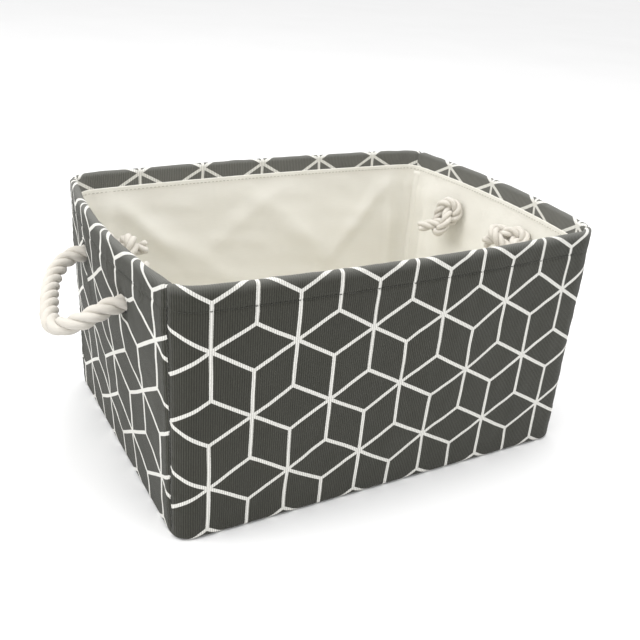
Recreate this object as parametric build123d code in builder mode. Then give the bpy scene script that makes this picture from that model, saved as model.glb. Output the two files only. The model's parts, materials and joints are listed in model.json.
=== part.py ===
from build123d import *
import math
import os

# Fabric storage bin with rope handles, in millimetres.
# +Z is up, X runs along the long side, and the origin is the middle of the underside.
# Each wall is a sandwich: printed outer cloth, a stiffener sheet, a gap, then the liner.
# Every layer follows one plan outline, drawn inset from the bin's outer surface.

# Driving dimensions: the whole bin
base_length = 380.0
base_width = 276.0
height = 210.0
base_corner_radius = 15.0
rim_corner_radius = 24.0
end_bow = 14.0
side_bow = 8.0

# Cloth layers, each given as its inset from the outer surface and its thickness
outer_cloth = 1.2
stiffener_inset = 1.5
stiffener_thickness = 2.0
liner_inset = 6.6
liner_thickness = 0.6
layer_gap = 0.2

# Rim: the outer cloth rolls over a steel wire ring and hangs down inside as a turned hem
ring_wire_radius = 1.8
ring_clearance = 0.2
hem_depth = 22.0
liner_top_drop = 15.0
hem_stitch_drop = 18.5
thread_radius = 0.35
thread_gap = 0.02
stiffener_ring_gap = 1.0

# Base: cloth underneath, a board on it, and the liner's own base on the board
base_board_thickness = 3.0
base_gap = 0.1
base_board_bottom = outer_cloth + base_gap
base_board_top = base_board_bottom + base_board_thickness
liner_bottom = base_board_top + layer_gap
straight_foot = 1.0

# Upright corner seams lie on the end side of each corner
corner_seam_y = 125.0
corner_thread_radius = 0.45
corner_thread_standoff = 1.25 * corner_thread_radius
seam_trim = 0.02

# Rope handles: two holes in each end wall, a loop outside and a knot inside each hole
rope_radius = 7.0
rope_hole_radius = rope_radius + 0.3
rope_hole_y = 54.0
rope_hole_z = 166.0
hole_cutter_length = 60.0
handle_axis_standoff = rope_radius + 0.6
handle_droop = 22.0
stub_end_proud = 0.2
knot_half_depth = 14.0
knot_radius = 17.0
knot_tail_radius = 6.0
knot_tail_length = 34.0
knot_tail_inward = 0.35
knot_wall_gap = 0.5
knot_tail_leans = {"left_front": 35, "left_rear": -20, "right_front": -65, "right_rear": 25}

# The loop's centreline, as (distance along the wall, distance out from the hinge axis)
handle_route = [
    (-54.0, 0.0),
    (-54.5, 14.0),
    (-53.5, 30.0),
    (-45.0, 43.0),
    (-28.0, 44.0),
    (-8.0, 39.0),
    (12.0, 33.5),
    (31.0, 27.0),
    (45.0, 18.0),
    (53.5, 8.0),
    (54.0, 0.0),
]

# Worked out from the driving dimensions
half_length = base_length / 2
half_width = base_width / 2
hem_bottom = height - hem_depth
base_layers_height = liner_bottom + straight_foot
liner_top = height - liner_top_drop
hem_stitch_z = height - hem_stitch_drop
roll_inner_radius = ring_wire_radius + ring_clearance
roll_outer_radius = roll_inner_radius + outer_cloth
roll_centre_z = height - roll_outer_radius
stiffener_top = roll_centre_z - ring_wire_radius - stiffener_ring_gap

os.makedirs("parts", exist_ok=True)


def save(part, name):
    """Labels a finished piece and writes it to its own STEP file."""
    part.label = name
    export_step(part, f"parts/{name}.step")


def rise(z):
    """How far up the sloping wall a height is: 0 at the flat base, 1 at the hem and above."""
    if z < base_layers_height:
        return 0.0
    return min(z / hem_bottom, 1.0)


def arc_radius(half_chord, sagitta):
    """Radius of the arc that bows by a sagitta over a chord."""
    return (half_chord**2 + sagitta**2) / (2 * sagitta)


def wall_x(y, z):
    """Distance of an end wall's outer surface from the middle of the bin."""
    bow = end_bow * rise(z)
    radius = arc_radius(half_width, bow)
    return half_length + bow - radius + math.sqrt(radius**2 - y**2)


def outline_corner(z, inset):
    """Where the inset end side meets the inset long side, before the corner is rounded."""
    if rise(z) == 0:
        return Vector(half_length - inset, half_width - inset)
    end_radius = arc_radius(half_width, end_bow * rise(z))
    side_radius = arc_radius(half_length, side_bow * rise(z))
    end_centre = Vector(half_length + end_bow * rise(z) - end_radius, 0)
    side_centre = Vector(0, half_width + side_bow * rise(z) - side_radius)
    end_reach = end_radius - inset
    side_reach = side_radius - inset
    apart = side_centre - end_centre
    along = (end_reach**2 - side_reach**2 + apart.length**2) / (2 * apart.length)
    direction = apart.normalized()
    outward = Vector(-direction.Y, direction.X)
    return end_centre + direction * along + outward * math.sqrt(end_reach**2 - along**2)


def outline(z, inset=0.0):
    """The bin's plan outline at a height: straight sides at the base, bowed ones at the rim."""
    corner_radius = base_corner_radius + (rim_corner_radius - base_corner_radius) * rise(z)
    corner = outline_corner(z, inset)
    corners = [
        (-corner.X, -corner.Y),
        (corner.X, -corner.Y),
        (corner.X, corner.Y),
        (-corner.X, corner.Y),
    ]
    side_middle = half_width + side_bow * rise(z) - inset
    end_middle = half_length + end_bow * rise(z) - inset
    middles = [(0, -side_middle), (end_middle, 0), (0, side_middle), (-end_middle, 0)]
    with BuildSketch(Plane.XY.offset(z)) as plan:
        with BuildLine():
            for start, middle, end in zip(corners, middles, corners[1:] + corners[:1]):
                if rise(z) > 0:
                    ThreePointArc(start, middle, end)
                else:
                    Line(start, end)
        make_face()
        fillet(plan.vertices(), corner_radius - inset)
    return plan.sketch


def wall_ring(inset, thickness, low, high):
    """A layer that goes all the way round the bin, from one height to another."""
    levels = sorted({low, min(hem_bottom, high), high})
    outside = [outline(z, inset).face() for z in levels]
    inside = [outline(z, inset + thickness).face() for z in levels]
    with BuildPart() as ring:
        loft(sections=outside, ruled=True)
        loft(sections=inside, ruled=True, mode=Mode.SUBTRACT)
    return ring.part


def rim_path(z, inset=0.0):
    """The closed plan outline at the rim, as a path to sweep along."""
    return outline(z, inset).face().outer_wire()


def section_plane(path):
    """A plane across a rim path's start: its X points into the bin and its Y points up."""
    along = path % 0
    return Plane(origin=path @ 0, x_dir=Vector(0, 0, 1).cross(along), z_dir=along)


def hem_ring():
    """The rolled rim: a cloth hook over the wire ring, with its turned edge inside."""
    path = rim_path(hem_bottom)
    roll_base = roll_centre_z - hem_bottom
    inner_leg = 2 * roll_outer_radius
    with BuildPart() as hem:
        with BuildSketch(section_plane(path)):
            with BuildLine():
                Line((0, 0), (0, roll_base))
                ThreePointArc(
                    (0, roll_base),
                    (roll_outer_radius, roll_base + roll_outer_radius),
                    (inner_leg, roll_base),
                )
                Line((inner_leg, roll_base), (inner_leg, 0))
                Line((inner_leg, 0), (inner_leg - outer_cloth, 0))
                Line((inner_leg - outer_cloth, 0), (inner_leg - outer_cloth, roll_base))
                ThreePointArc(
                    (inner_leg - outer_cloth, roll_base),
                    (roll_outer_radius, roll_base + roll_inner_radius),
                    (outer_cloth, roll_base),
                )
                Line((outer_cloth, roll_base), (outer_cloth, 0))
                Line((outer_cloth, 0), (0, 0))
            make_face()
        sweep(path=path)
    return hem.part


def rim_tube(z, inset, radius):
    """A round wire or thread that goes all the way round the rim."""
    path = rim_path(z, inset)
    with BuildPart() as tube:
        with BuildSketch(section_plane(path)):
            Circle(radius)
        sweep(path=path)
    return tube.part


def keep_side_panel(side):
    """Keeps the front or back panel of the layer being built, with the tips round its corners."""
    kept_part = Keep.TOP if side < 0 else Keep.BOTTOM
    split(bisect_by=Plane.XZ.offset(-side * corner_seam_y), keep=kept_part)


def keep_end_panel(side):
    """Keeps the left or right end panel of the layer being built, between its two corner seams."""
    split(bisect_by=Plane.XZ.offset(corner_seam_y), keep=Keep.BOTTOM)
    split(bisect_by=Plane.XZ.offset(-corner_seam_y), keep=Keep.TOP)
    split(bisect_by=Plane.YZ, keep=Keep.BOTTOM if side < 0 else Keep.TOP)


def cut_rope_holes(side):
    """Cuts the two rope holes through a layer of an end wall."""
    hole_x = side * half_length
    places = [Location((hole_x, y, rope_hole_z), (0, 90, 0)) for y in (-rope_hole_y, rope_hole_y)]
    with Locations(*places):
        Cylinder(rope_hole_radius, hole_cutter_length, mode=Mode.SUBTRACT)


# Printed outer cloth: four wall panels, each with its stretch of the rolled rim
outer_walls = wall_ring(0, outer_cloth, 0, hem_bottom)
outer_hem = hem_ring()

for side, name in ((-1, "outer_front_panel"), (1, "outer_back_panel")):
    with BuildPart() as outer_side_panel:
        add(outer_walls)
        add(outer_hem)
        keep_side_panel(side)
    save(outer_side_panel.part, name)

outer_end_panels = {}
for side, name in ((-1, "outer_left_end_panel"), (1, "outer_right_end_panel")):
    with BuildPart() as outer_end_panel:
        add(outer_walls)
        add(outer_hem)
        keep_end_panel(side)
        cut_rope_holes(side)
    save(outer_end_panel.part, name)
    outer_end_panels[side] = outer_end_panel.part

# Cloth under the bin, inside the foot of the wall panels
with BuildPart() as outer_base_panel:
    with BuildSketch():
        add(outline(0, outer_cloth + base_gap))
    extrude(amount=outer_cloth)
save(outer_base_panel.part, "outer_base_panel")

# Steel wire ring inside the rolled rim
save(rim_tube(roll_centre_z, roll_outer_radius, ring_wire_radius), "rim_wire_ring")

# Stiffener sheets between the outer cloth and the liner
stiffener_walls = wall_ring(stiffener_inset, stiffener_thickness, base_board_bottom, stiffener_top)

for side, name in ((-1, "front_wall_stiffener"), (1, "back_wall_stiffener")):
    with BuildPart() as side_stiffener:
        add(stiffener_walls)
        keep_side_panel(side)
    save(side_stiffener.part, name)

for side, name in ((-1, "left_end_stiffener"), (1, "right_end_stiffener")):
    with BuildPart() as end_stiffener:
        add(stiffener_walls)
        keep_end_panel(side)
        cut_rope_holes(side)
    save(end_stiffener.part, name)

# Board that keeps the base flat
board_inset = stiffener_inset + stiffener_thickness + layer_gap
with BuildPart() as base_board:
    with BuildSketch(Plane.XY.offset(base_board_bottom)):
        add(outline(0, board_inset))
    extrude(amount=base_board_thickness)
save(base_board.part, "base_board")

# Liner: four wall panels sewn to the hem, and a base
liner_walls = wall_ring(liner_inset, liner_thickness, liner_bottom, liner_top)

for side, name in ((-1, "liner_front_panel"), (1, "liner_back_panel")):
    with BuildPart() as liner_side_panel:
        add(liner_walls)
        keep_side_panel(side)
    save(liner_side_panel.part, name)

for side, name in ((-1, "liner_left_end_panel"), (1, "liner_right_end_panel")):
    with BuildPart() as liner_end_panel:
        add(liner_walls)
        keep_end_panel(side)
        cut_rope_holes(side)
    save(liner_end_panel.part, name)

liner_base_inset = liner_inset + liner_thickness + layer_gap
with BuildPart() as liner_base_panel:
    with BuildSketch(Plane.XY.offset(liner_bottom)):
        add(outline(0, liner_base_inset))
    extrude(amount=liner_thickness)
save(liner_base_panel.part, "liner_base_panel")

# Stitching: one thread outside the hem, one along the liner's top edge, and the corner seams
outside_thread_inset = -thread_radius - thread_gap
inside_thread_inset = liner_inset + liner_thickness + thread_radius + thread_gap
save(rim_tube(hem_stitch_z, outside_thread_inset, thread_radius), "hem_outside_thread")
save(rim_tube(hem_stitch_z, inside_thread_inset, thread_radius), "hem_inside_thread")

with BuildPart() as corner_seam_stitching:
    for side, panel in outer_end_panels.items():
        for seam_y in (-corner_seam_y, corner_seam_y):
            seam_edges = panel.edges().filter_by_position(Axis.Y, seam_y - base_gap, seam_y + base_gap)
            upright = seam_edges.filter_by(lambda edge: edge.bounding_box().size.Z > hem_bottom - 1)
            seam = upright.sort_by(Axis.X)[0 if side < 0 else -1]
            trimmed_seam = seam.trim(seam_trim, 1 - seam_trim)
            path = trimmed_seam.moved(Location((side * corner_thread_standoff, 0, 0)))
            with BuildSketch(Plane(origin=path @ 0, z_dir=path % 0)):
                Circle(corner_thread_radius)
            sweep(path=path)
save(corner_seam_stitching.part, "corner_seam_stitching")

# Rope handles. Each loop turns about the line through its two holes, just outside the wall
hole_wall_x = wall_x(rope_hole_y, rope_hole_z)
handle_axis_x = hole_wall_x + handle_axis_standoff


def handle_points(side):
    """The loop's route in the bin's frame. The right handle is the left one turned about Z."""
    droop = math.radians(handle_droop)
    points = []
    for along, out in handle_route:
        x = handle_axis_x + out * math.cos(droop)
        z = rope_hole_z - out * math.sin(droop)
        points.append((side * x, -side * along, z))
    return points


def route_radii(points):
    """The fillet radius at each inner point: as large as its two runs leave room for."""
    radii = []
    for before, here, after in zip(points, points[1:], points[2:]):
        run_in = Vector(*here) - Vector(*before)
        run_out = Vector(*after) - Vector(*here)
        half_turn = math.radians(run_in.get_angle(run_out)) / 2
        radii.append(0.45 * min(run_in.length, run_out.length) / math.tan(half_turn))
    return radii


for side, name in ((-1, "left_rope_handle"), (1, "right_rope_handle")):
    points = handle_points(side)
    radii = route_radii(points)
    with BuildPart() as rope_handle:
        with BuildLine() as route:
            FilletPolyline(*points, radius=radii)
        with BuildSketch(Plane(origin=route.line @ 0, z_dir=route.line % 0)):
            Circle(rope_radius)
        sweep()
        swept_volume = rope_handle.part.volume
        with Locations(points[0], points[-1]):
            Sphere(rope_radius)
    save(rope_handle.part, name)
    route_length = route.wires()[0].length
    volume_share = swept_volume / (math.pi * rope_radius**2 * route_length)
    print(name, "radii", [round(r, 1) for r in radii])
    print(name, "length", round(route_length, 1), "volume share", round(volume_share, 4))

# Knots inside the end walls, each with the rope's stub through its hole and a cut tail
liner_face_x = hole_wall_x - liner_inset - liner_thickness
knot_centre_x = liner_face_x - knot_half_depth - knot_wall_gap

for knot_name, lean in knot_tail_leans.items():
    side = -1 if knot_name.startswith("left") else 1
    y = -rope_hole_y if knot_name.endswith("front") else rope_hole_y
    centre = (side * knot_centre_x, y, rope_hole_z)
    stub_length = hole_wall_x + stub_end_proud - knot_centre_x
    tail_sideways = math.sin(math.radians(lean))
    tail_down = math.cos(math.radians(lean))
    tail_direction = (-side * knot_tail_inward, tail_sideways, -tail_down)
    with BuildPart() as knot:
        with BuildSketch(Plane(origin=centre, x_dir=(side, 0, 0), z_dir=(0, 0, 1))):
            Ellipse(knot_half_depth, knot_radius)
            with Locations((0, -knot_radius)):
                Rectangle(3 * knot_radius, 2 * knot_radius, mode=Mode.SUBTRACT)
        revolve(axis=Axis(centre, (side, 0, 0)))
        with BuildSketch(Plane(origin=centre, z_dir=(side, 0, 0))):
            Circle(rope_radius)
        extrude(amount=stub_length)
        with BuildSketch(Plane(origin=centre, z_dir=tail_direction)):
            Circle(knot_tail_radius)
        extrude(amount=knot_tail_length)
    save(knot.part, f"{knot_name}_rope_knot")

print("hinge axis x", round(handle_axis_x, 2), "hole wall x", round(hole_wall_x, 2))
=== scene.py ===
import json
import math

import bmesh
import bpy
import numpy as np
from mathutils import Matrix, Vector


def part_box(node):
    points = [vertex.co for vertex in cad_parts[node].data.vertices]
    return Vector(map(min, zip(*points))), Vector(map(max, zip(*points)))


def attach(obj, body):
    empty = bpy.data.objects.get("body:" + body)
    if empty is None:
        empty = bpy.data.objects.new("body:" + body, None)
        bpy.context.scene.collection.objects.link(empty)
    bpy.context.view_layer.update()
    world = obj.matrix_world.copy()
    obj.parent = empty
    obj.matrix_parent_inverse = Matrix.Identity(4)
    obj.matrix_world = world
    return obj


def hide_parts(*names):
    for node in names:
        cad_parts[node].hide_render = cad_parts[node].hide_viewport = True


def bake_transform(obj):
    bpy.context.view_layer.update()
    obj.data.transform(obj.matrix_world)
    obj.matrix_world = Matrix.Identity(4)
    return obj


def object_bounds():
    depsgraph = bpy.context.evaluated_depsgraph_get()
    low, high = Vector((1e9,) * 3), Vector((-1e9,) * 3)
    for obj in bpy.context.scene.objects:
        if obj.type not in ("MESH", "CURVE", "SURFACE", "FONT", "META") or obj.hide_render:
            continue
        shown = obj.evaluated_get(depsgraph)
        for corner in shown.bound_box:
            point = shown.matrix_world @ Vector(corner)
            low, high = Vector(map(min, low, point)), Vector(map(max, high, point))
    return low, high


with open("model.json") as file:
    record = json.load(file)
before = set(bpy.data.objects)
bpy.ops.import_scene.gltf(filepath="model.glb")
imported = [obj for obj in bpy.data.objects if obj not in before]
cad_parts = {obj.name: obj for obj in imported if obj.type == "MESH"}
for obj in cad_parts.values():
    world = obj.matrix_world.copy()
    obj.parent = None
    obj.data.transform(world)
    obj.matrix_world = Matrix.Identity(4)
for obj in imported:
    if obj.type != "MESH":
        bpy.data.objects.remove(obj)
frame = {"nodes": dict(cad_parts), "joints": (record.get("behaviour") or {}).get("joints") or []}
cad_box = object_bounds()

# Fabric storage bin: cloth, liner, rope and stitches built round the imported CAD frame, in metres.
MM = 0.001

# Sizes of the walls, read from the frame
height = cad_box[1][2]
wall_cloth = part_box("outer_base_panel")[1].z
base_gap = 0.1 * MM
half_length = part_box("outer_base_panel")[1].x + wall_cloth + base_gap
half_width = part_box("outer_base_panel")[1].y + wall_cloth + base_gap
end_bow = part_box("outer_right_end_panel")[1].x - half_length
side_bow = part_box("outer_back_panel")[1].y - half_width
corner_seam_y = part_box("outer_right_end_panel")[1].y
liner_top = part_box("liner_right_end_panel")[1].z
liner_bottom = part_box("liner_right_end_panel")[0].z
hem_stitch_z = (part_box("hem_outside_thread")[0].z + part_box("hem_outside_thread")[1].z) / 2
rope_hole_y = 54 * MM
rope_hole_z = 166 * MM
base_corner_radius = 15 * MM
rim_corner_radius = 24 * MM
hem_bottom = 188 * MM
roll_radius = 3.2 * MM
roll_centre_z = height - roll_radius
liner_inset = 6.6 * MM

# Rope handles, with the same route points as the CAD model: along the wall, out from the hinge axis
rope_diameter = 14 * MM
handle_droop = math.radians(22)
handle_axis_x = abs(frame["joints"][0]["pos_m"][0])
handle_route = [
    (-54.0, 0.0), (-54.5, 14.0), (-53.5, 30.0), (-45.0, 43.0), (-28.0, 44.0), (-8.0, 39.0),
    (12.0, 33.5), (31.0, 27.0), (45.0, 18.0), (53.5, 8.0), (54.0, 0.0),
]
rope_end_x = 196.1 * MM

random = np.random.default_rng(20)
norm = np.linalg.norm
scene = bpy.context.scene


# ---- camera
def place_camera():
    """The camera at the photo's viewing angle."""
    azimuth, elevation, roll = -0.5364, 0.4463, 0.0784
    back = Vector((
        math.sin(azimuth) * math.cos(elevation),
        -math.cos(azimuth) * math.cos(elevation),
        math.sin(elevation),
    ))
    level_right = Vector((math.cos(azimuth), math.sin(azimuth), 0))
    level_up = back.cross(level_right)
    right = math.cos(roll) * level_right + math.sin(roll) * level_up
    up = -math.sin(roll) * level_right + math.cos(roll) * level_up
    data = bpy.data.cameras.new("camera")
    data.lens = 46.94
    data.sensor_width = 36
    camera = bpy.data.objects.new("camera", data)
    place = Matrix((right, up, back)).transposed().to_4x4()
    place.translation = Vector((-0.35921, -0.60776, 0.43169))
    camera.matrix_world = place
    scene.collection.objects.link(camera)
    scene.camera = camera


place_camera()


# ---- mesh helpers
def add_object(name, vertices, faces, loop_uvs=None, material=None):
    """A smooth mesh object. loop_uvs has one (u, v) for each corner of each face, in order."""
    mesh = bpy.data.meshes.new(name)
    faces = faces.tolist() if isinstance(faces, np.ndarray) else faces
    mesh.from_pydata(np.asarray(vertices).tolist(), [], faces)
    if loop_uvs is not None:
        layer = mesh.uv_layers.new(name="flat")
        layer.data.foreach_set("uv", np.asarray(loop_uvs, np.float32).ravel())
    mesh.polygons.foreach_set("use_smooth", [True] * len(mesh.polygons))
    mesh.update()
    item = bpy.data.objects.new(name, mesh)
    scene.collection.objects.link(item)
    if material:
        item.data.materials.append(material)
    return item


def grid_faces(rows, columns, closed=False):
    """Quads over a grid of points. A closed grid joins its last column to its first."""
    row = np.arange(rows - 1)[:, None]
    column = np.arange(columns if closed else columns - 1)[None, :]
    following = (column + 1) % columns
    corners = [
        row * columns + column,
        row * columns + following,
        (row + 1) * columns + following,
        (row + 1) * columns + column,
    ]
    return np.stack([np.broadcast_to(c, (rows - 1, column.shape[1])) for c in corners], -1).reshape(-1, 4)


def thicken(item, thickness, offset=-1.0):
    """Gives a sheet its thickness, on the side away from its normals."""
    solidify = item.modifiers.new("thickness", "SOLIDIFY")
    solidify.thickness = thickness
    solidify.offset = offset
    solidify.use_even_offset = True
    return item


def distances_along(line):
    """Distances along a line, from its first point."""
    return np.concatenate([[0], np.cumsum(norm(np.diff(line, axis=0), axis=1))])


def surface_normals(points):
    """Unit normals over a grid of points whose rows go up and whose columns go right."""
    across = np.gradient(points, axis=1)
    upward = np.gradient(points, axis=0)
    normal = np.cross(across, upward)
    return normal / np.maximum(norm(normal, axis=2, keepdims=True), 1e-12)


def ripples(count, longest, shortest):
    """A smooth random height over a flat cloth, mostly between -1 and 1: a sum of sine waves."""
    lengths = np.geomspace(longest, shortest, count)
    turns = random.uniform(0, math.tau, count)
    phases = random.uniform(0, math.tau, count)
    shares = (lengths / longest) ** 0.7

    def height_at(u, v):
        total = 0
        for length, turn, phase, share in zip(lengths, turns, phases, shares):
            across = u * math.cos(turn) + v * math.sin(turn)
            total = total + share * np.sin(math.tau / length * across + phase)
        return total / math.sqrt((shares**2).sum() / 2) / 2

    return height_at


def fold(u, v, centre, lean, width, length):
    """One soft fold's height, from 0 to 1: a long mound whose line leans from upright."""
    across = (u - centre[0]) * math.cos(lean) - (v - centre[1]) * math.sin(lean)
    along = (u - centre[0]) * math.sin(lean) + (v - centre[1]) * math.cos(lean)
    return np.exp(-((across / width) ** 2) - (along / length) ** 2)


def smoothstep(low, high, value):
    share = np.clip((value - low) / (high - low), 0, 1)
    return share * share * (3 - 2 * share)


def stand_in(item, node):
    """Puts a piece of the bin in the place of a CAD node."""
    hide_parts(node)
    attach(item, "bin")


# ---- plan outline
def arc_radius(half_chord, sagitta):
    return (half_chord**2 + sagitta**2) / (2 * sagitta)


def quarter_outline(z, inset, steps=90):
    """The front right quarter of the plan outline: from the front's middle round to the end's."""
    rise = min(max(z / hem_bottom, 0.004), 1.0)
    corner_radius = base_corner_radius + (rim_corner_radius - base_corner_radius) * rise
    end_radius = arc_radius(half_width, end_bow * rise)
    side_radius = arc_radius(half_length, side_bow * rise)
    end_centre = np.array([half_length + end_bow * rise - end_radius, 0.0])
    side_centre = np.array([0.0, side_radius - half_width - side_bow * rise])
    apart = end_centre - side_centre
    distance = norm(apart)
    side_reach = side_radius - corner_radius
    end_reach = end_radius - corner_radius
    along = (side_reach**2 - end_reach**2 + distance**2) / (2 * distance)
    direction = apart / distance
    outward = np.array([-direction[1], direction[0]])
    if outward[0] < 0:
        outward = -outward
    corner_centre = side_centre + direction * along + outward * math.sqrt(side_reach**2 - along**2)
    from_side = corner_centre - side_centre
    from_end = corner_centre - end_centre
    side_angle = math.atan2(from_side[1], from_side[0])
    end_angle = math.atan2(from_end[1], from_end[0])

    def arc(centre, radius, start, stop):
        angles = np.linspace(start, stop, steps)
        return centre + radius * np.stack([np.cos(angles), np.sin(angles)], 1)

    points = np.concatenate([
        arc(side_centre, side_radius - inset, -math.pi / 2, side_angle),
        arc(corner_centre, corner_radius - inset, side_angle, end_angle)[1:],
        arc(end_centre, end_radius - inset, end_angle, 0.0)[1:],
    ])
    return points, distances_along(points)


def wall_row(kind, side, share, z, inset):
    """One row of a wall panel. share runs from -1 to 1 between its two corner seams.
    Gives the plan points and their distances along the cloth from the panel's middle."""
    points, lengths = quarter_outline(z, inset)
    seam = np.interp(-corner_seam_y, points[:, 1], lengths)
    if kind == "long":
        along = share * seam
        x = np.sign(along) * np.interp(np.abs(along), lengths, points[:, 0])
        y = np.interp(np.abs(along), lengths, points[:, 1])
        turn = 1 if side < 0 else -1
    else:
        along = share * (lengths[-1] - seam)
        from_front = lengths[-1] - np.abs(along)
        x = np.interp(from_front, lengths, points[:, 0])
        y = -np.sign(along) * np.interp(from_front, lengths, points[:, 1])
        turn = side
    return turn * x, turn * y, along


def wall_grid(kind, side, shares, profile, behind):
    """A wall panel's points, a row for each (height, inset, distance up) of its profile, with each
    point's distance along the cloth, height, distance up the cloth and distance to its seam."""
    rows, columns = len(profile), len(shares)
    points = np.zeros((rows, columns, 3))
    along = np.zeros((rows, columns))
    for number, (z, inset, _) in enumerate(profile):
        x, y, along[number] = wall_row(kind, side, shares, z, inset + behind)
        points[number] = np.stack([x, y, np.full(columns, z)], 1)
    z = np.repeat([row[0] for row in profile], columns).reshape(rows, columns)
    up = np.repeat([row[2] for row in profile], columns).reshape(rows, columns)
    to_seam = np.abs(along).max(axis=1, keepdims=True) - np.abs(along)
    return points, along, z, up, to_seam


def end_wall_point(side, along, z, inset):
    """Points on the bowed part of an end wall, for any distance along it and height."""
    bow = end_bow * np.clip(z / hem_bottom, 0.004, 1.0)
    radius = arc_radius(half_width, bow)
    angle = along / radius
    x = half_length + bow - radius + (radius - inset) * np.cos(angle)
    y = (radius - inset) * np.sin(angle)
    return np.stack([side * x, side * y, z], -1)


def column_shares(half, spacing, edge_width, edge_spacing):
    """Column places from -1 to 1, closer together near both seams."""
    middle = np.linspace(0, half - edge_width, max(2, round((half - edge_width) / spacing)))
    edge = np.linspace(half - edge_width, half, max(2, round(edge_width / edge_spacing)))[1:]
    right = np.concatenate([middle, edge]) / half
    return np.concatenate([-right[:0:-1], right])


def loop_uvs(faces, u, v):
    """Per-corner UVs from per-point values."""
    flat = np.stack([u.ravel(), v.ravel()], 1)
    return flat[faces.ravel()]


# ---- materials
def link_value(tree, value, socket):
    if isinstance(value, bpy.types.NodeSocket):
        tree.links.new(value, socket)
    else:
        socket.default_value = value


def sums(tree, operation, *values):
    """A Math node. Its inputs are numbers or sockets."""
    node = tree.nodes.new("ShaderNodeMath")
    node.operation = operation
    for value, socket in zip(values, node.inputs):
        link_value(tree, value, socket)
    return node.outputs[0]


def times(tree, first, second):
    return sums(tree, "MULTIPLY", first, second)


def plus(tree, first, second):
    return sums(tree, "ADD", first, second)


def minus(tree, first, second):
    return sums(tree, "SUBTRACT", first, second)


def step_between(tree, value, low, high):
    """0 below low, 1 above high, and smooth between."""
    node = tree.nodes.new("ShaderNodeMapRange")
    node.interpolation_type = "SMOOTHSTEP"
    link_value(tree, value, node.inputs["Value"])
    node.inputs["From Min"].default_value = low
    node.inputs["From Max"].default_value = high
    return node.outputs[0]


def mix_colours(tree, share, first, second):
    node = tree.nodes.new("ShaderNodeMix")
    node.data_type = "RGBA"
    link_value(tree, share, node.inputs["Factor"])
    link_value(tree, first, node.inputs["A"])
    link_value(tree, second, node.inputs["B"])
    return node.outputs["Result"]


def noise(tree, vector, scale, detail=2.0, roughness=0.5):
    node = tree.nodes.new("ShaderNodeTexNoise")
    link_value(tree, vector, node.inputs["Vector"])
    node.inputs["Scale"].default_value = scale
    node.inputs["Detail"].default_value = detail
    node.inputs["Roughness"].default_value = roughness
    return node.outputs[0]


def stretched(tree, vector, x, y, z):
    node = tree.nodes.new("ShaderNodeVectorMath")
    node.operation = "MULTIPLY"
    link_value(tree, vector, node.inputs[0])
    node.inputs[1].default_value = (x, y, z)
    return node.outputs[0]


def both_axes(tree, vector):
    node = tree.nodes.new("ShaderNodeSeparateXYZ")
    tree.links.new(vector, node.inputs[0])
    return node.outputs[0], node.outputs[1]


def wobble(tree, vector, scale, detail, size):
    """Noise that swings to half a size each way."""
    return times(tree, minus(tree, noise(tree, vector, scale, detail), 0.5), size)


def bump(tree, value, distance, strength=1.0, before=None):
    node = tree.nodes.new("ShaderNodeBump")
    node.inputs["Distance"].default_value = distance
    node.inputs["Strength"].default_value = strength
    link_value(tree, value, node.inputs["Height"])
    if before is not None:
        tree.links.new(before, node.inputs["Normal"])
    return node.outputs[0]


def new_material(name, roughness, sheen=0.0, sheen_roughness=0.4):
    """A material, its node tree, its shader, its UV vector and its place vector."""
    material = bpy.data.materials.new(name)
    material.use_nodes = True
    tree = material.node_tree
    shader = tree.nodes["Principled BSDF"]
    shader.inputs["Roughness"].default_value = roughness
    shader.inputs["Sheen Weight"].default_value = sheen
    shader.inputs["Sheen Roughness"].default_value = sheen_roughness
    shader.inputs["Specular IOR Level"].default_value = 0.25
    uv = tree.nodes.new("ShaderNodeUVMap")
    uv.uv_map = "flat"
    place = tree.nodes.new("ShaderNodeTexCoord")
    return material, tree, shader, uv.outputs[0], place.outputs["Object"]


def surface(tree, shader, colour, normal):
    tree.links.new(colour, shader.inputs["Base Color"])
    tree.links.new(normal, shader.inputs["Normal"])


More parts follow.
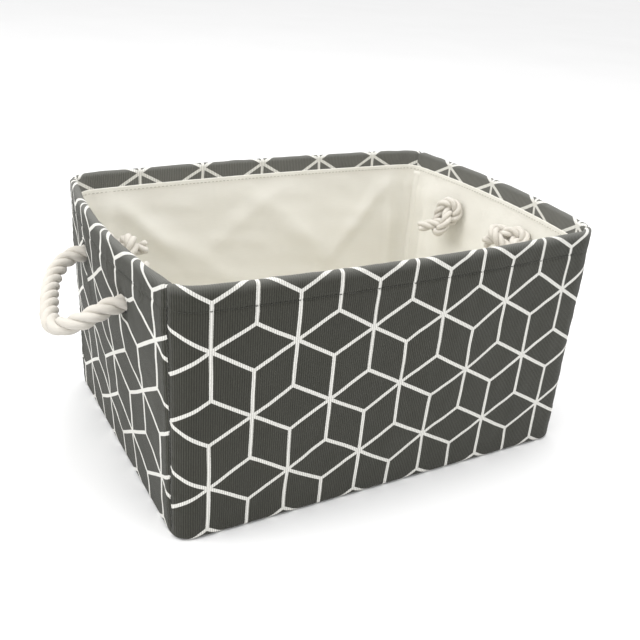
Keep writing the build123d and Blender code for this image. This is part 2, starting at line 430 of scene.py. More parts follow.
def printed_cloth(name, sideways, seam):
    """Ribbed cloth with upright ribs, printed with a rhombus tiling of off-white lines.
    UVs are metres of flat cloth from the rim's crest and the panel's middle."""
    column = 64.6 * MM
    row = 57.4 * MM
    crest_row = 5.8 * MM
    line_half_width = 1.45 * MM
    rib_pitch = 1.75 * MM
    pick_pitch = 0.9 * MM
    material, tree, shader, uv, place = new_material(name, 0.8, sheen=0.12, sheen_roughness=0.45)
    u, v = both_axes(tree, uv)

    sway = wobble(tree, uv, 14.0, 1.0, 5.0 * MM)
    sag = wobble(tree, stretched(tree, uv, -1, 1, 1), 11.0, 1.0, 5.0 * MM)
    across = plus(tree, minus(tree, u, sideways), sway)
    up = plus(tree, minus(tree, v, crest_row), sag)

    def from_nearest(value, period, shift):
        turns = sums(tree, "FRACT", plus(tree, sums(tree, "DIVIDE", value, period), shift))
        return times(tree, minus(tree, turns, 0.5), period)

    squash_rows = column / math.sqrt(3) * 1.5 / row
    up = times(tree, up, squash_rows)
    tall = 2 * row * squash_rows
    first = (from_nearest(across, column, 0.5), from_nearest(up, tall, 0.5))
    second = (from_nearest(across, column, 0.0), from_nearest(up, tall, 0.0))

    def squared(pair):
        x_squared = times(tree, pair[0], pair[0])
        y_squared = times(tree, pair[1], pair[1])
        return plus(tree, x_squared, y_squared)

    use_second = sums(tree, "GREATER_THAN", squared(first), squared(second))

    def chosen(a, b):
        node = tree.nodes.new("ShaderNodeMix")
        tree.links.new(use_second, node.inputs["Factor"])
        tree.links.new(a, node.inputs["A"])
        tree.links.new(b, node.inputs["B"])
        return sums(tree, "ABSOLUTE", node.outputs["Result"])

    near_x, near_y = chosen(first[0], second[0]), chosen(first[1], second[1])
    half_x = times(tree, near_x, 0.5)
    lean_y = times(tree, near_y, math.sqrt(0.75))
    slanted = sums(tree, "ABSOLUTE", minus(tree, half_x, lean_y))
    in_seam = step_between(tree, times(tree, u, -1), seam - 11 * MM, seam - 10 * MM)
    to_line = sums(tree, "MINIMUM", plus(tree, near_x, in_seam), slanted)
    ragged = wobble(tree, uv, 900.0, 2.0, 0.5 * MM)
    ink_edge = 0.18 * MM
    to_ink = plus(tree, to_line, ragged)
    ink = step_between(tree, to_ink, line_half_width + ink_edge, line_half_width - ink_edge)

    rib = sums(tree, "ABSOLUTE", sums(tree, "SINE", times(tree, u, math.pi / rib_pitch)))
    pick = sums(tree, "SINE", times(tree, v, math.tau / pick_pitch))
    thread_noise = noise(tree, stretched(tree, uv, 1.0, 0.25, 1.0), 1400.0, 2.0)
    weave = plus(tree, rib, times(tree, pick, 0.12))
    weave = plus(tree, weave, times(tree, thread_noise, 0.35))
    # Painted shade: this mask is 0 in the grooves between the ribs and 1 on the rib tops, and the grooves
    # get a darker ground colour.
    painted_groove_shade_mask = step_between(tree, rib, 0.0, 0.75)

    blotch = noise(tree, place, 22.0, 4.0)
    speck = noise(tree, place, 900.0, 1.0)
    dark = mix_colours(tree, blotch, (0.026, 0.026, 0.0192, 1), (0.041, 0.041, 0.031, 1))
    dark = mix_colours(tree, times(tree, speck, 0.35), dark, (0.12, 0.12, 0.098, 1))
    light = mix_colours(tree, speck, (0.74, 0.73, 0.68, 1), (0.88, 0.87, 0.83, 1))
    ground = mix_colours(tree, painted_groove_shade_mask, (0.016, 0.016, 0.0125, 1), dark)
    # Painted highlight: from 10 mm below the rim's crest, over the roll and down the inside hem, the
    # ground is coloured lighter, as sheen where light catches the roll.
    crest_painted_sheen = times(tree, step_between(tree, v, -10 * MM, 0.0), 0.75)
    ground = mix_colours(tree, crest_painted_sheen, ground, (0.17, 0.17, 0.155, 1))
    # Painted shade: the printed lines are coloured darker in the rib grooves too.
    print_colour = mix_colours(tree, painted_groove_shade_mask, (0.5, 0.49, 0.45, 1), light)
    colour = mix_colours(tree, ink, ground, print_colour)
    surface(tree, shader, colour, bump(tree, weave, 0.45 * MM, 0.9))
    return material


def liner_cloth():
    """Plain woven off-white cotton."""
    material, tree, shader, uv, place = new_material("liner_cloth", 0.86, sheen=0.15)
    u, v = both_axes(tree, uv)
    thread = 0.55 * MM
    warp = sums(tree, "SINE", times(tree, u, math.tau / thread))
    weft = sums(tree, "SINE", times(tree, v, math.tau / thread))
    slub = noise(tree, stretched(tree, uv, 0.12, 1.0, 1.0), 900.0, 2.0)
    weave = plus(tree, times(tree, warp, weft), times(tree, slub, 0.8))
    crinkle = noise(tree, uv, 45.0, 5.0, 0.62)
    tint = mix_colours(tree, noise(tree, place, 14.0, 3.0), (0.8, 0.78, 0.71, 1), (0.86, 0.845, 0.785, 1))
    tint = mix_colours(tree, times(tree, slub, 0.25), tint, (0.7, 0.67, 0.6, 1))
    soft = bump(tree, crinkle, 1.2 * MM, 0.5)
    surface(tree, shader, tint, bump(tree, weave, 0.12 * MM, 0.6, soft))
    return material


def cotton_rope():
    """Soft cream cotton yarn. UVs are metres round a strand and along it."""
    material, tree, shader, uv, place = new_material("cotton_rope", 0.9, sheen=0.35, sheen_roughness=0.35)
    fibres = noise(tree, stretched(tree, uv, 1.0, 0.12, 1.0), 2600.0, 3.0, 0.65)
    fluff = noise(tree, place, 500.0, 4.0, 0.7)
    tint = mix_colours(tree, noise(tree, place, 60.0, 3.0), (0.56, 0.515, 0.445, 1), (0.68, 0.65, 0.59, 1))
    tint = mix_colours(tree, times(tree, fibres, 0.4), tint, (0.82, 0.795, 0.745, 1))
    soft = bump(tree, fluff, 0.5 * MM, 0.5)
    surface(tree, shader, tint, bump(tree, fibres, 0.6 * MM, 0.9, soft))
    return material


def sewing_thread(name, dark, light):
    """Twisted sewing thread. UVs are metres round the thread and along it."""
    material, tree, shader, uv, place = new_material(name, 0.6, sheen=0.2)
    u, v = both_axes(tree, uv)
    slant = plus(tree, u, v)
    twist = sums(tree, "SINE", times(tree, slant, math.tau / (0.7 * MM)))
    colour = mix_colours(tree, noise(tree, place, 400.0), dark, light)
    surface(tree, shader, colour, bump(tree, twist, 0.1 * MM, 0.8))
    return material


def speckled(name, first, second, scale, roughness, metallic=0.0, grain=(1, 1, 1), relief=0.1 * MM):
    """A plain hidden material with fine grain: foam, board or drawn wire."""
    material, tree, shader, uv, place = new_material(name, roughness)
    shader.inputs["Metallic"].default_value = metallic
    grains = noise(tree, stretched(tree, place, *grain), scale, 4.0, 0.6)
    surface(tree, shader, mix_colours(tree, grains, first, second), bump(tree, grains, relief, 0.6))
    return material


cloth_materials = {
    "long": printed_cloth("printed_cloth", sideways=-3.5 * MM, seam=198 * MM),
    "end": printed_cloth("printed_cloth_ends", sideways=13 * MM, seam=136 * MM),
}
liner_material = liner_cloth()
rope_material = cotton_rope()
dark_thread = sewing_thread("dark_thread", (0.02, 0.02, 0.018, 1), (0.06, 0.06, 0.05, 1))
hem_thread = sewing_thread("hem_thread", (0.028, 0.028, 0.024, 1), (0.06, 0.06, 0.05, 1))
light_thread = sewing_thread("light_thread", (0.42, 0.4, 0.35, 1), (0.6, 0.57, 0.5, 1))


# ---- rope
def route_line(name, points):
    """Points read from the smooth curve that has these route points as its control points."""
    data = bpy.data.curves.new(name, "CURVE")
    data.dimensions = "3D"
    data.resolution_u = 24
    spline = data.splines.new("NURBS")
    spline.points.add(len(points) - 1)
    for control, place in zip(spline.points, points):
        control.co = (*place, 1)
    spline.order_u = 3
    spline.use_endpoint_u = True
    item = bpy.data.objects.new(name, data)
    scene.collection.objects.link(item)
    bpy.context.view_layer.update()
    mesh = bpy.data.meshes.new_from_object(item)
    line = np.array([v.co[:] for v in mesh.vertices])
    bpy.data.objects.remove(item)
    bpy.data.meshes.remove(mesh)
    return line


def even_line(line, spacing):
    """The same line with points an even distance apart."""
    steps = distances_along(line)
    places = np.linspace(0, steps[-1], max(2, round(steps[-1] / spacing)) + 1)
    return np.stack([np.interp(places, steps, line[:, axis]) for axis in range(3)], 1)


def unit(vectors):
    return vectors / np.maximum(norm(vectors, axis=-1, keepdims=True), 1e-12)


def line_frames(line):
    """Tangents and two untwisting side directions along a line."""
    tangents = unit(np.gradient(line, axis=0))
    helper = np.array([0.0, 0.0, 1.0]) if abs(tangents[0][2]) < 0.9 else np.array([1.0, 0.0, 0.0])
    first = unit(np.cross(tangents[0], np.cross(helper, tangents[0])))
    sides = [first]
    for before, here in zip(tangents, tangents[1:]):
        carried = sides[-1] - np.dot(sides[-1], here) * here
        sides.append(unit(carried))
    sides = np.array(sides)
    return tangents, sides, np.cross(tangents, sides)


def tube(line, radius_at, around):
    """Points, quads and corner UVs of a tube. radius_at(angle, distance) gives its radius."""
    _, side, up = line_frames(line)
    distance = distances_along(line)
    angle = np.arange(around) * math.tau / around
    radius = radius_at(angle[None, :], distance[:, None])
    ring = side[:, None, :] * np.cos(angle)[None, :, None] + up[:, None, :] * np.sin(angle)[None, :, None]
    points = line[:, None, :] + ring * radius[:, :, None]
    rows = len(line)
    faces = grid_faces(rows, around, closed=True)
    girth = math.tau * float(radius.mean())
    corner_column = np.tile(np.arange(around), rows - 1)[:, None] + np.array([0, 1, 1, 0])
    corner_row = np.repeat(np.arange(rows - 1), around)[:, None] + np.array([0, 0, 1, 1])
    uvs = np.stack([corner_column * girth / around, distance[corner_row]], -1)
    return points.reshape(-1, 3), faces, uvs.reshape(-1, 2)


def joined(pieces):
    """Several (points, quads, uvs) as one."""
    starts = np.cumsum([0] + [len(p[0]) for p in pieces[:-1]])
    points = np.concatenate([p[0] for p in pieces])
    faces = np.concatenate([p[1] + start for p, start in zip(pieces, starts)])
    return points, faces, np.concatenate([p[2] for p in pieces])


def rope_object(name, line, diameter, lay, phase=0.0, cut_end=False):
    """A three-strand rope along a line. Each strand has yarns that turn against the rope's lay.
    A cut end closes in round tips that spread a little."""
    line = even_line(line, 0.9 * MM)
    _, side, up = line_frames(line)
    distance = distances_along(line)
    total = distance[-1]
    strand_radius = 0.247 * diameter
    strand_reach = 0.268 * diameter
    yarns = 8
    yarn_turn = math.tau / (22 * MM)
    pieces = []
    for strand in range(3):
        turn = phase + strand * math.tau / 3 + distance * math.tau / lay
        spread = np.ones_like(distance)
        if cut_end:
            spread += 0.35 * smoothstep(total - 6 * MM, total, distance)
        wander = 1 + 0.03 * np.sin(distance * 310 + 2.1 * strand) + 0.02 * np.sin(distance * 700 + strand)
        reach = (strand_reach * spread * wander)[:, None]
        centre = line + reach * (side * np.cos(turn)[:, None] + up * np.sin(turn)[:, None])
        strand_length = norm(np.diff(centre, axis=0), axis=1).sum()

        def radius_at(angle, along, strand=strand, strand_length=strand_length):
            ridge = np.abs(np.cos(0.5 * yarns * (angle + yarn_turn * along) + strand))
            size = strand_radius * (0.9 + 0.15 * ridge**0.8)
            size = size * (1 + 0.02 * np.sin(along * 420 + 1.7 * strand))
            tips = np.ones_like(along)
            if cut_end:
                tips = np.sqrt(np.clip((strand_length - along) / (2.2 * MM), 0.0004, 1))
            return size * tips

        pieces.append(tube(centre, radius_at, 36))
    points, faces, uvs = joined(pieces)
    return add_object(name, points, faces, uvs, rope_material)


def handle_points(side):
    """The loop's route, with a short level run into each hole at its two ends."""
    points = []
    for along, out in handle_route:
        x = handle_axis_x + out * MM * math.cos(handle_droop)
        z = rope_hole_z - out * MM * math.sin(handle_droop)
        points.append((side * x, -side * along * MM, z))
    first, last = points[0], points[-1]
    return [(side * rope_end_x, first[1], rope_hole_z), *points, (side * rope_end_x, last[1], rope_hole_z)]


rope_lay = 37 * MM
handles = {}
for side, name in ((-1, "left"), (1, "right")):
    line = route_line(f"{name}_handle_route", handle_points(side))
    handle = rope_object(f"{name}_twisted_rope_handle", line, rope_diameter, rope_lay)
    handles[name] = (handle, line)


# Overhand knots: a loose knot is pulled tight, and each copy's tail is swung its own way
knot_rope = 8.6 * MM
knot_strands = 10.8 * MM
knot_spacing = 2.2 * MM


def settle(points, start, end, rounds):
    """Moves a rope's points until they are evenly spaced, bend gently and don't pass through it."""
    count = len(points)
    index = np.arange(count)
    far_along = (index[:, None] - index[None, :]) > 1.5 * knot_rope / knot_spacing
    for _ in range(rounds):
        offset = points[:, None, :] - points[None, :, :]
        apart = norm(offset, axis=2)
        i, j = np.nonzero(far_along & (apart < knot_rope))
        if len(i):
            push = offset[i, j] * (0.48 * (knot_rope / np.maximum(apart[i, j], 1e-9) - 1))[:, None]
            total = np.zeros_like(points)
            touches = np.zeros(count)
            np.add.at(total, i, push)
            np.add.at(total, j, -push)
            np.add.at(touches, i, 1)
            np.add.at(touches, j, 1)
            points += total / np.maximum(touches, 1)[:, None]
        middle = (points[:-2] + points[2:]) / 2
        points[1:-1] += 0.04 * (middle - points[1:-1])
        for _ in range(3):
            for first in (0, 1):
                b = points[first + 1::2]
                a = points[first:-1:2][:len(b)]
                gap = b - a
                length = norm(gap, axis=1, keepdims=True)
                shift = gap * ((length - knot_spacing) / np.maximum(length, 1e-9) / 2)
                a += shift
                b -= shift
            points[0], points[-1] = start, end
    return points


def tight_knot():
    """An overhand knot along X, pulled tight."""
    t = np.linspace(-2.25, 2.25, 400)
    bight = np.stack([3 * t - t**3, t**4 - 4 * t**2, 0.13 * (t**5 - 10 * t)], 1) * 8.0 * MM
    leaving = unit(bight[-1] - bight[-2])
    entering = unit(bight[0] - bight[1])
    ends = np.linspace(0, 70 * MM, 30)[1:, None]
    line = np.concatenate([(bight[0] + ends * entering)[::-1], bight, bight[-1] + ends * leaving])
    points = even_line(line, knot_spacing)
    start, end = points[0].copy(), points[-1].copy()
    rope_in_knot = 10.5 * knot_rope
    half_gap = (knot_spacing * (len(points) - 1) - rope_in_knot) / 2
    pulled = np.array([half_gap if start[0] > end[0] else -half_gap, 0, 0])
    for pull in range(1, 81):
        share = smoothstep(0, 1, pull / 80)
        points = settle(points, start + (pulled - start) * share, end + (-pulled - end) * share, 10)
    points = settle(points, pulled, -pulled, 150)
    return points if points[0][0] < points[-1][0] else points * np.array([-1, -1, 1])


def swung_tail(points, lean, turn):
    """The knot with its tail bent away from the pull by an angle, in a direction round the rope."""
    start, end = points[0].copy(), points[-1].copy()
    reach = norm(end)
    for part in range(1, 11):
        angle = lean * part / 10
        sideways = math.sin(angle)
        aim = np.array([math.cos(angle), sideways * math.cos(turn), sideways * math.sin(turn)])
        points = settle(points, start, aim * reach, 14)
    return points


def knot_object(name, side, y, axis, roll, lean, turn, tail_length, offset):
    """A knot that lies against the liner inside an end wall. Its rope comes out of the hole and
    turns into the knot, whose own axis points along the wall."""
    points = swung_tail(tight.copy(), lean, turn)
    index = np.arange(len(points))
    apart = norm(points[:, None, :] - points[None, :, :], axis=2)
    along_apart = np.abs(index[:, None] - index[None, :]) * knot_spacing
    touching = np.nonzero(((apart < 1.15 * knot_rope) & (along_apart > 1.8 * knot_rope)).any(1))[0]
    body_middle = points[touching[0]:touching[-1] + 1].mean(axis=0)
    last = touching[-1] + round(tail_length / knot_spacing)
    kept = points[touching[0]:last + 1] - body_middle

    inward = np.array([-side, 0.0, 0.0])
    axis = unit(np.array([-side * axis[0], axis[1], axis[2]]))
    across = unit(np.cross(axis, inward))
    over = np.cross(axis, across)
    turned = math.cos(roll) * across + math.sin(roll) * over
    placed = kept @ np.stack([axis, turned, np.cross(axis, turned)])
    hole = np.array([side * liner_face_x, y, rope_hole_z])
    placed += hole + offset * axis
    depth = (placed - hole) @ inward
    placed += inward * (0.56 * knot_strands - depth.min())

    first_point, first_way = placed[0], unit(placed[1] - placed[0])
    wall_point = np.array([side * (rope_end_x + 1 * MM), y, rope_hole_z])
    reach = norm(first_point - hole)
    hole_lead = hole + inward * 0.35 * reach
    knot_lead = first_point - first_way * 0.5 * reach
    t = np.linspace(0, 1, 30)[:-1, None]
    weights = [(1 - t) ** 3, 3 * t * (1 - t) ** 2, 3 * t**2 * (1 - t), t**3]
    controls = [wall_point, hole_lead, knot_lead, first_point]
    entry = sum(weight * point for weight, point in zip(weights, controls))
    line = even_line(np.concatenate([entry, placed]), 1.5 * MM)
    for _ in range(6):
        line[1:-1] += 0.5 * ((line[:-2] + line[2:]) / 2 - line[1:-1])
    return rope_object(name, line, knot_strands, rope_lay * 0.75, phase=roll, cut_end=True)


liner_face_x = float(end_wall_point(1, rope_hole_y, rope_hole_z, liner_inset + 0.6 * MM)[0])
tight = tight_knot()
# Name, end, hole, the knot's own axis and turn about it, its tail's lean, turn and length, and how
# far the knot lies from its hole
for name, side, y, axis, roll, lean, turn, tail, offset in (
    ("left_front", -1, -rope_hole_y, (0.35, 0.85, 0.2), 0.4, 0.8, 0.9, 8 * MM, 9 * MM),
    ("left_rear", -1, rope_hole_y, (0.35, -0.8, 0.3), 2.2, 0.7, 2.4, 8 * MM, 9 * MM),
    ("right_front", 1, -rope_hole_y, (0.4, 0.85, 0.35), 1.2, 0.6, 4.0, 8 * MM, 12 * MM),
    ("right_rear", 1, rope_hole_y, (0.3, 0.08, -0.93), 3.0, 0.5, 5.2, 14 * MM, 7 * MM),
):
    knot = knot_object(f"{name}_overhand_knot", side, y, axis, roll, lean, turn, tail, offset)
    stand_in(knot, f"{name}_rope_knot")

for name, side in (("left", -1), ("right", 1)):
    handle, line = handles[name]
    length = float(norm(np.diff(line, axis=0), axis=1).sum())
    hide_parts(f"{name}_rope_handle")
    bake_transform(handle)


# ---- outer cloth
crest_to_roll = roll_radius * math.pi / 2


def outer_profile():
    """The wall's section from its turned foot, up the outside, over the rim and down inside.
    Rows of (height, inset, distance up the cloth from the rim's crest)."""
    foot_radius = 3.4 * MM
    rows = []
    for angle in np.linspace(math.radians(80), 0, 7)[:-1]:
        z = foot_radius * (1 - math.sin(angle)) + 0.15 * MM
        rows.append((z, foot_radius * (1 - math.cos(angle)), z - foot_radius * angle * 0.4))
    coarse = np.arange(foot_radius + 0.15 * MM, hem_stitch_z - 7 * MM, 2.3 * MM)
    fine = np.arange(hem_stitch_z - 6.4 * MM, roll_centre_z - 0.5 * MM, 0.85 * MM)
    for z in np.concatenate([coarse, fine]):
        rows.append((z, 0.0, z))
    for angle in np.linspace(0, math.pi, 17):
        z = roll_centre_z + roll_radius * math.sin(angle)
        rows.append((z, roll_radius * (1 - math.cos(angle)), roll_centre_z + roll_radius * angle))
    for down in np.arange(1.2 * MM, roll_centre_z - liner_top + 6 * MM, 1.5 * MM):
        rows.append((roll_centre_z - down, 2 * roll_radius, roll_centre_z + roll_radius * math.pi + down))
    crest = roll_centre_z + crest_to_roll
    return [(z, inset, up - crest) for z, inset, up in rows]


def cloth_relief(kind, side, along, z, up, to_seam):
    """How far the outer cloth stands out from the CAD wall, from its waves, hem, seams and holes."""
    outside = smoothstep(2 * MM, -4 * MM, up)
    belly = smoothstep(4 * MM, 40 * MM, z) * smoothstep(203 * MM, 180 * MM, z)
    relief = belly * 1.0 * MM * broad_waves(along, up)
    relief += 0.3 * MM * small_waves(along, up) * smoothstep(0, 25 * MM, z)
    from_crease = z - hem_stitch_z
    crease = np.exp(-((from_crease / (1.5 * MM)) ** 2)) * outside
    gathers = gather_waves(along, 0.25 * up)
    relief -= crease * MM * (0.5 + 0.25 * gathers)
    relief += 0.22 * MM * gathers * np.exp(-np.abs(from_crease) / (6 * MM)) * outside
    seam_waves = gather_waves(1.3 * z, 0.4 * along)
    relief -= 1.3 * MM * np.exp(-((to_seam / (1.9 * MM)) ** 2))
    relief += 0.45 * MM * seam_waves * np.exp(-to_seam / (7 * MM)) * outside
    relief += 0.5 * MM * np.exp(-(((to_seam - 5 * MM) / (3 * MM)) ** 2)) * outside
    if kind == "end":
        for hole in (-rope_hole_y, rope_hole_y):
            from_hole = np.hypot(along - hole, z - rope_hole_z)
            angle = np.arctan2(z - rope_hole_z, along - hole)
            relief -= 2.0 * MM * np.exp(-((from_hole / (10 * MM)) ** 2)) * outside
            pleats = np.cos(5 * angle + hole * 40) * np.exp(-((from_hole - 13 * MM) / (7 * MM)) ** 2)
            relief += 0.5 * MM * pleats * outside
        rear = rope_hole_y * (-1 if side < 0 else 1)
        tuck = fold(along, z, (rear, 138 * MM), 0.08, 2.6 * MM, 26 * MM) * outside
        swell = fold(along, z, (rear + 7 * MM, 136 * MM), 0.05, 5 * MM, 30 * MM) * outside
        relief += 1.3 * MM * swell - 1.6 * MM * tuck
        for u_place, lean in ((-95, 0.5), (-30, -0.35), (5, 0.4), (28, -0.2), (88, 0.3)):
            relief += 0.8 * MM * fold(along, z, (u_place * MM, 186 * MM), lean, 4 * MM, 12 * MM) * outside
    return np.maximum(relief, -1.0 * MM) * smoothstep(0.5 * MM, 9 * MM, z)


def outer_panel(name, kind, side):
    """One printed wall panel between two corner seams, with its stretch of the rolled rim."""
    profile = outer_profile()
    half = 0.2 if kind == "long" else corner_seam_y
    shares = column_shares(half, spacing=2.0 * MM, edge_width=9 * MM, edge_spacing=0.6 * MM)
    points, along, z, up, to_seam = wall_grid(kind, side, shares, profile, 0.0)
    faces = grid_faces(*z.shape)
    outside = up < -10 * MM
    if kind == "end":
        warp_radius, open_radius, removed_radius = 15 * MM, 6.9 * MM, 3.4 * MM
        removed = np.zeros(len(faces), bool)
        for hole in (-rope_hole_y, rope_hole_y):
            du, dz = along - hole, z - rope_hole_z
            from_hole = np.hypot(du, dz)
            middle_u = du.ravel()[faces].mean(1)
            middle_z = dz.ravel()[faces].mean(1)
            here = (np.hypot(middle_u, middle_z) < removed_radius) & outside.ravel()[faces].all(1)
            removed |= here
            edge = np.intersect1d(faces[here].ravel(), faces[~here].ravel())
            warped = open_radius + from_hole * (warp_radius - open_radius) / warp_radius
            warped.ravel()[edge] = open_radius
            near = (from_hole < warp_radius) & outside
            scale = np.where(near, warped / np.maximum(from_hole, 1e-6), 1.0)
            along = np.where(near, hole + du * scale, along)
            z = np.where(near, rope_hole_z + dz * scale, z)
            points[near] = end_wall_point(side, along[near], z[near], 0.0)
        faces = faces[~removed]
    relief = cloth_relief(kind, side, along, z, up, to_seam)
    points = points + surface_normals(points) * relief[:, :, None]
    uvs = loop_uvs(faces, along, up)
    panel = add_object(name, points.reshape(-1, 3), faces, uvs, cloth_materials[kind])
    if kind == "end":
        drop_loose(panel)
    thicken(panel, wall_cloth)
    panel["cut"] = [2 * float(np.abs(along).max()), float(profile[-1][2] - profile[0][2])]
    return panel


def drop_loose(item):
    """Removes points that no face uses."""
    work = bmesh.new()
    work.from_mesh(item.data)
    bmesh.ops.delete(work, geom=[v for v in work.verts if not v.link_faces], context="VERTS")
    work.to_mesh(item.data)
    work.free()


walls = (("front", "long", -1), ("back", "long", 1), ("left_end", "end", -1), ("right_end", "end", 1))
for name, kind, side in walls:
    broad_waves = ripples(7, 190 * MM, 60 * MM)
    small_waves = ripples(8, 45 * MM, 14 * MM)
    gather_waves = ripples(5, 11 * MM, 6 * MM)
    panel = outer_panel(f"printed_{name}_cloth", kind, side)
    stand_in(panel, f"outer_{name}_panel")


def plan_loop(z, inset):
    """The whole plan outline at a height, anticlockwise from the front's middle."""
    points, _ = quarter_outline(z, inset, 40)
    right_front = points
    right_rear = (points * (1, -1))[-2::-1]
    left_rear = (points * (-1, -1))[1:]
    left_front = (points * (-1, 1))[-2:0:-1]
    return np.concatenate([right_front, right_rear, left_rear, left_front])


def flat_base(name, low_z, inset, thickness, material, waves):
    """A flat sheet across the bin, its edge on the plan outline."""
    loop = plan_loop(0.0, inset)
    shares = np.concatenate([np.linspace(0.02, 0.9, 40), np.linspace(0.91, 1.0, 10)])
    plan = shares[:, None, None] * loop[None, :, :]
    z = np.full(plan.shape[:2], low_z + thickness)
    z = z + waves * broad_waves(plan[:, :, 0], plan[:, :, 1]) * smoothstep(1.0, 0.85, shares)[:, None]
    points = np.concatenate([plan, z[:, :, None]], 2)
    rows, columns = len(shares), len(loop)
    points = np.concatenate([points.reshape(-1, 3), [[0, 0, low_z + thickness]]])
    quads = grid_faces(rows, columns, closed=True)[:, ::-1]
    centre = rows * columns
    place = np.arange(columns)
    hub = np.stack([np.full(columns, centre), place, (place + 1) % columns], 1)
    uvs = np.concatenate([points[quads.ravel(), :2], points[hub.ravel(), :2]])
    item = add_object(name, points, quads.tolist() + hub.tolist(), uvs, material)
    thicken(item, thickness)
    return item


base_cloth = flat_base("printed_base_cloth", 0.0, 2.4 * MM, wall_cloth, cloth_materials["long"], 0.0)
stand_in(base_cloth, "outer_base_panel")


# ---- liner
# Soft folds on each wall: place along it, height, lean, width, length and depth, in mm and radians
liner_folds = {
    ("long", 1): (
        (120, 150, 0.75, 9, 60, 3.4), (75, 120, 0.95, 12, 70, 3.0), (20, 150, -0.9, 11, 60, 2.6),
        (-60, 120, 0.85, 12, 80, 3.2), (-120, 140, -0.7, 9, 60, 3.0), (-160, 120, 0.1, 7, 60, 3.0),
        (165, 110, -0.08, 7, 70, 3.2),
    ),
    ("end", 1): (
        (100, 110, 0.06, 6, 70, 3.6), (84, 90, 0.14, 8, 60, 2.8), (10, 110, -0.25, 10, 60, 2.4),
        (-40, 100, 0.3, 9, 50, 2.2), (-98, 110, -0.05, 7, 60, 2.6),
    ),
    ("end", -1): (
        (-95, 110, 0.08, 7, 60, 3.0), (0, 110, 0.35, 10, 60, 2.4), (96, 120, -0.1, 7, 60, 3.0),
    ),
    ("long", -1): (
        (-130, 120, 0.6, 10, 60, 3.0), (-30, 120, -0.6, 12, 60, 2.6), (90, 120, 0.7, 10, 70, 3.0),
    ),
}


def liner_relief(kind, side, along, z, to_seam):
    """How far the liner falls in from its CAD wall, in soft folds that hang from the hem."""
    loose = smoothstep(196 * MM, 165 * MM, z) * smoothstep(6 * MM, 45 * MM, z)
    relief = loose * 1.6 * MM * (broad_waves(along, z) + 0.6)
    relief += loose * 0.5 * MM * small_waves(along, z)
    for u_place, z_place, lean, width, length, high in liner_folds[(kind, side)]:
        middle = (u_place * MM, z_place * MM)
        relief += loose * high * MM * fold(along, z, middle, lean, width * MM, length * MM)
    relief *= smoothstep(0, 10 * MM, to_seam)
    pucker = gather_waves(along, 0.2 * z)
    relief += 0.3 * MM * (pucker + 0.4) * np.exp(-np.abs(z - hem_stitch_z) / (5 * MM))
    if kind == "end":
        for hole in (-rope_hole_y, rope_hole_y):
            from_hole = np.hypot(along - hole, z - rope_hole_z)
            relief *= 1 - 0.9 * np.exp(-((from_hole / (16 * MM)) ** 2))
    return relief


def liner_profile():
    """Rows of (height, inset, distance up the cloth) from the base to the folded top edge."""
    fold_radius = 0.45 * MM
    rows = [(z, 0.75 * MM, z) for z in np.arange(liner_bottom + 0.4 * MM, liner_top - 8 * MM, 2.6 * MM)]
    rows += [(z, 0.75 * MM, z) for z in np.arange(liner_top - 7.4 * MM, liner_top - 0.5 * MM, 0.8 * MM)]
    top = liner_top - fold_radius
    for angle in np.linspace(0, math.pi, 6):
        rows.append((top + fold_radius * math.sin(angle), 0.75 * MM - fold_radius * (1 - math.cos(angle)),
                     top + fold_radius * angle))
    for down in np.arange(1.0 * MM, 6 * MM, 1.2 * MM):
        rows.append((top - down, -0.15 * MM, top + fold_radius * math.pi + down))
    return rows


def liner_panel(name, kind, side):
    """One wall of the liner, hanging from the hem, with its top edge folded back."""
    profile = liner_profile()
    half = 0.19 if kind == "long" else corner_seam_y
    shares = column_shares(half, spacing=2.2 * MM, edge_width=8 * MM, edge_spacing=0.8 * MM)
    points, along, z, up, to_seam = wall_grid(kind, side, shares, profile, liner_inset)
    front_layer = smoothstep(liner_top + 2.5 * MM, liner_top - 1.5 * MM, up)
    relief = liner_relief(kind, side, along, z, to_seam) * front_layer
    points = points - surface_normals(points) * relief[:, :, None]
    faces = grid_faces(*z.shape)[:, ::-1]
    panel = add_object(name, points.reshape(-1, 3), faces, loop_uvs(faces, along, up), liner_material)
    thicken(panel, 0.4 * MM, 0.0)
    panel["cut"] = [2 * float(np.abs(along).max()), float(profile[-1][2] - profile[0][2])]
    return panel


def corner_flap(name, side, end):
    """A liner corner's seam allowance, folded flat against the end wall. end is -1 in front, 1 behind."""
    heights = np.arange(liner_bottom + 2 * MM, liner_top - 4 * MM, 3 * MM)
    shares = np.linspace(0, 1, 9)
    points = np.zeros((len(heights), len(shares), 3))
    for number, z in enumerate(heights):
        width = (8.5 + 1.2 * math.sin(z * 55 + end) + 0.6 * math.sin(z * 210)) * MM
        lift = (1.5 + 0.6 * math.sin(z * 80 + side)) * MM
        for place, share in enumerate(shares):
            inset = liner_inset + 0.9 * MM + lift * math.sin(math.pi * min(1.0, share * 1.15)) * 0.9
            quarter, lengths = quarter_outline(z, inset)
            seam = lengths[-1] - np.interp(-corner_seam_y, quarter[:, 1], lengths)
            from_front = lengths[-1] - (seam + 1.0 * MM - share * width)
            x = np.interp(from_front, lengths, quarter[:, 0])
            y = np.interp(from_front, lengths, quarter[:, 1])
            points[number, place] = (side * x, -end * y, z)
    faces = grid_faces(len(heights), len(shares))
    if side * end > 0:
        faces = faces[:, ::-1]
    u = np.repeat(shares[None, :] * 9 * MM, len(heights), 0)
    v = np.repeat(heights[:, None], len(shares), 1)
    flap = add_object(name, points.reshape(-1, 3), faces, loop_uvs(faces, u, v), liner_material)
    thicken(flap, 0.9 * MM, 0.0)
    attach(flap, "bin")
    return flap


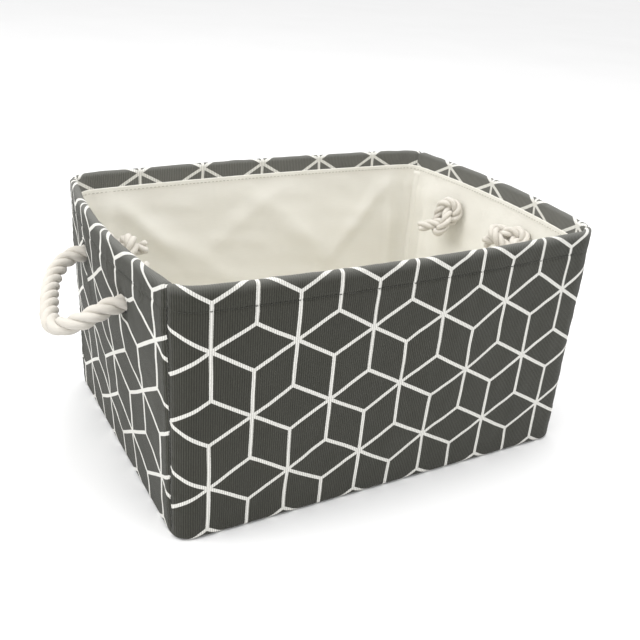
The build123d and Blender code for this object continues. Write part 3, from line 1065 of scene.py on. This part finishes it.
for name, kind, side in walls:
    broad_waves = ripples(7, 170 * MM, 60 * MM)
    small_waves = ripples(8, 50 * MM, 18 * MM)
    gather_waves = ripples(5, 12 * MM, 6 * MM)
    panel = liner_panel(f"{name}_liner_cloth", kind, side)
    stand_in(panel, f"liner_{name}_panel")
    flaps = []
    if kind == "end":
        flaps = [
            corner_flap(f"{name}_{place}_seam_flap", side, end)
            for place, end in (("front", -1), ("rear", 1))
        ]

liner_base = flat_base(
    "liner_base_cloth",
    liner_bottom,
    liner_inset + 0.8 * MM,
    0.6 * MM,
    liner_material,
    0.5 * MM,
)
stand_in(liner_base, "liner_base_panel")


# ---- stitches
def stitch_run(name, line, pitch, length, radius, material):
    """Separate stitches along a line: short capsules that dip into the cloth at both ends."""
    line = even_line(line, pitch / 6)
    steps = distances_along(line)
    pieces = []
    for middle in np.arange(pitch / 2, steps[-1] - pitch / 2, pitch):
        places = middle + np.linspace(-0.5, 0.5, 7) * length * random.uniform(0.92, 1.08)
        short = np.stack([np.interp(places, steps, line[:, axis]) for axis in range(3)], 1)

        def radius_at(angle, along, length=length):
            ends = np.clip(np.minimum(along, length - along) / (1.5 * radius), 0.02, 1)
            return radius * np.sqrt(ends) + 0 * angle

        pieces.append(tube(short, radius_at, 8))
    points, faces, uvs = joined(pieces)
    return add_object(name, points, faces, uvs, material)


def rim_line(z, inset):
    loop = plan_loop(z, inset)
    loop = np.concatenate([loop, loop[:1]])
    return np.concatenate([loop, np.full((len(loop), 1), z)], 1)


def seam_line(x_side, y_side, low, high):
    """The bottom of an upright corner seam's valley."""
    line = []
    for z in np.arange(low, high, 4 * MM):
        points, lengths = quarter_outline(z, 0.85 * MM)
        x = np.interp(-corner_seam_y, points[:, 1], points[:, 0])
        line.append((x_side * x, y_side * corner_seam_y, z))
    return np.array(line)


# Each kind of stitch: pitch, length and thread radius
outside_line = rim_line(hem_stitch_z, 0.2 * MM)
inside_line = rim_line(hem_stitch_z, liner_inset + 1.25 * MM)
hem_fine = (3.6 * MM, 2.4 * MM, 0.3 * MM)
hem_plain = (4 * MM, 2.7 * MM, 0.36 * MM)
corner_coarse = (4.4 * MM, 3.4 * MM, 0.42 * MM)
outside_stitches = stitch_run("hem_outside_stitches", outside_line, *hem_fine, hem_thread)
inside_stitches = stitch_run("hem_inside_stitches", inside_line, *hem_plain, light_thread)
seam_runs = [seam_line(x_side, y_side, 6 * MM, 204 * MM) for x_side in (-1, 1) for y_side in (-1, 1)]
corner_pieces = [
    stitch_run(f"corner_{number}", run, *corner_coarse, dark_thread)
    for number, run in enumerate(seam_runs)
]
with bpy.context.temp_override(active_object=corner_pieces[0], selected_editable_objects=corner_pieces):
    bpy.ops.object.join()
corner_stitches = corner_pieces[0]
corner_stitches.name = "corner_seam_stitches"
stand_in(outside_stitches, "hem_outside_thread")
stand_in(inside_stitches, "hem_inside_thread")
stand_in(corner_stitches, "corner_seam_stitching")


# ---- hidden CAD pieces
wire_greys = ((0.45, 0.45, 0.46, 1), (0.62, 0.62, 0.62, 1))
wire = speckled("drawn_wire", *wire_greys, 300.0, 0.35, metallic=1.0, grain=(0.1, 0.1, 3.0))
hidden_finishes = {
    "rim_wire_ring": wire,
    "base_board": speckled("grey_board", (0.5, 0.46, 0.4, 1), (0.62, 0.58, 0.52, 1), 500.0, 0.9),
}
foam = speckled("foam_sheet", (0.78, 0.78, 0.76, 1), (0.88, 0.88, 0.86, 1), 900.0, 0.9, relief=0.3 * MM)
for node in ("front_wall_stiffener", "back_wall_stiffener", "left_end_stiffener", "right_end_stiffener"):
    hidden_finishes[node] = foam
for node, material in hidden_finishes.items():
    item = frame["nodes"][node]
    item.data.materials.clear()
    item.data.materials.append(material)


# ---- studio
def studio():
    """A pale floor, a white world and soft lights from the upper left."""
    floor = add_object("floor", [(-6, -6, 0), (6, -6, 0), (6, 6, 0), (-6, 6, 0)], [(0, 1, 2, 3)])
    floor.location.z = -0.3 * MM
    material, tree, shader, uv, place = new_material("pale_floor", 0.9)
    tint = mix_colours(tree, noise(tree, place, 3.0), (0.86, 0.86, 0.86, 1), (0.9, 0.9, 0.9, 1))
    tree.links.new(tint, shader.inputs["Base Color"])
    floor.data.materials.append(material)
    world = bpy.data.worlds.new("white_room")
    world.use_nodes = True
    world.node_tree.nodes["Background"].inputs["Color"].default_value = (1, 1, 1, 1)
    world.node_tree.nodes["Background"].inputs["Strength"].default_value = 1.0
    scene.world = world
    scene.view_settings.view_transform = "Standard"
    for name, place_at, aim, size, power in (
        ("key_light", (-1.5, 0.3, 1.5), (0, 0, 0.15), 1.0, 15),
        ("top_light", (0.1, -0.1, 2.0), (0, 0, 0.1), 1.2, 22),
    ):
        data = bpy.data.lights.new(name, "AREA")
        data.size = size
        data.energy = power
        lamp = bpy.data.objects.new(name, data)
        lamp.location = place_at
        lamp.rotation_euler = (Vector(aim) - Vector(place_at)).to_track_quat("-Z", "Y").to_euler()
        scene.collection.objects.link(lamp)


studio()

bpy.context.view_layer.update()
